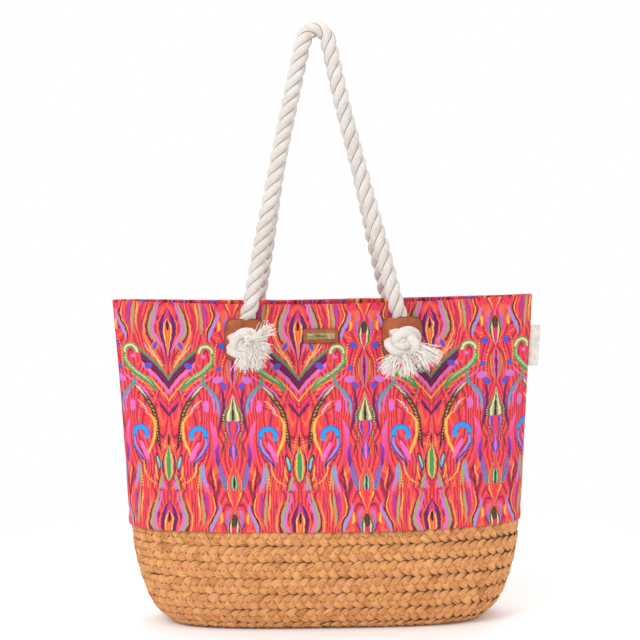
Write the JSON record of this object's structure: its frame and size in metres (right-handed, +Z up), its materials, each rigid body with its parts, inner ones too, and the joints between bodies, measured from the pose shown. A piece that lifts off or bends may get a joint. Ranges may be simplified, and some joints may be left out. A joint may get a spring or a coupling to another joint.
{
  "type": "beach bag",
  "caption": "Open-top canvas tote with a vivid mirrored print on a plaited straw base, carried by twisted cotton rope handles knotted through leather patches.",
  "frame": {"origin": "middle of the flat underside of the straw base", "axes": "+Z up through the open top, the front face towards -Y, +X towards the seam with the side tag"},
  "size_m": [0.5161, 0.1536, 0.7217],
  "materials": {
    "printed_canvas": "matt plain-weave canvas with a mirrored flame and teardrop print on a coral red ground",
    "lining_cloth": "matt undyed cotton lining",
    "plaited_straw": "dry plaited plant fibre, golden tan with dark gaps",
    "cotton_rope": "soft twisted three-strand cotton, cream white",
    "tan_leather": "smooth cognac leather with darker cut edges",
    "label_brass": "antique brass, satin",
    "snap_steel": "nickel-plated steel",
    "woven_ribbon": "cream woven ribbon"
  },
  "bodies": {
    "bag": {"back_canvas": "printed_canvas", "back_facing": "printed_canvas", "back_left_knot": "cotton_rope", "back_left_patch": "tan_leather", "back_left_tassel": "cotton_rope", "back_left_tucked_rope": "cotton_rope", "back_lining": "lining_cloth", "back_right_knot": "cotton_rope", "back_right_patch": "tan_leather", "back_right_tassel": "cotton_rope", "back_right_tucked_rope": "cotton_rope", "back_snap_stud": "snap_steel", "back_snap_washer": "snap_steel", "bottom_braid_core": "plaited_straw", "bottom_braid_turn_1": "plaited_straw", "bottom_braid_turn_2": "plaited_straw", "bottom_lining": "lining_cloth", "braid_row_1": "plaited_straw", "braid_row_2": "plaited_straw", "braid_row_3": "plaited_straw", "braid_row_4": "plaited_straw", "braid_row_5": "plaited_straw", "braid_row_6": "plaited_straw", "braid_row_7": "plaited_straw", "front_canvas": "printed_canvas", "front_facing": "printed_canvas", "front_left_knot": "cotton_rope", "front_left_patch": "tan_leather", "front_left_tassel": "cotton_rope", "front_left_tucked_rope": "cotton_rope", "front_lining": "lining_cloth", "front_right_knot": "cotton_rope", "front_right_patch": "tan_leather", "front_right_tassel": "cotton_rope", "front_right_tucked_rope": "cotton_rope", "front_snap_socket": "snap_steel", "front_snap_washer": "snap_steel", "label_leather": "tan_leather", "label_plaque": "label_brass", "slip_pocket": "lining_cloth"},
    "front_legs": {"front_left_rope_leg": "cotton_rope", "front_right_rope_leg": "cotton_rope"},
    "front_bow": {"front_rope_bow": "cotton_rope"},
    "back_legs": {"back_left_rope_leg": "cotton_rope", "back_right_rope_leg": "cotton_rope"},
    "back_bow": {"back_rope_bow": "cotton_rope"},
    "tag": {"side_tag": "woven_ribbon"}
  },
  "joints": [
    {"name": "front_handle_swing", "type": "hinge", "parent": "bag", "child": "front_legs", "pos_m": [0, -0.0355, 0.391], "axis": [1, 0, 0], "range_deg": [0, 115]},
    {"name": "front_handle_droop", "type": "hinge", "parent": "front_legs", "child": "front_bow", "pos_m": [0, -0.03061, 0.455], "axis": [1, 0, 0], "range_deg": [0, 65]},
    {"name": "back_handle_swing", "type": "hinge", "parent": "bag", "child": "back_legs", "pos_m": [0, 0.0355, 0.391], "axis": [-1, 0, 0], "range_deg": [0, 115]},
    {"name": "back_handle_droop", "type": "hinge", "parent": "back_legs", "child": "back_bow", "pos_m": [0, 0.03061, 0.455], "axis": [-1, 0, 0], "range_deg": [0, 65]},
    {"name": "tag_flex", "type": "hinge", "parent": "bag", "child": "tag", "pos_m": [0.2489, 0, 0.3315], "axis": [0.0695, 0, 0.9976], "range_deg": [-60, 60], "stiffness_Nm_per_rad": 0.002}
  ],
  "couplings": [
    {"joint": "front_handle_droop", "follows": "front_handle_swing", "ratio": 0.565},
    {"joint": "back_handle_droop", "follows": "back_handle_swing", "ratio": 0.565}
  ]
}
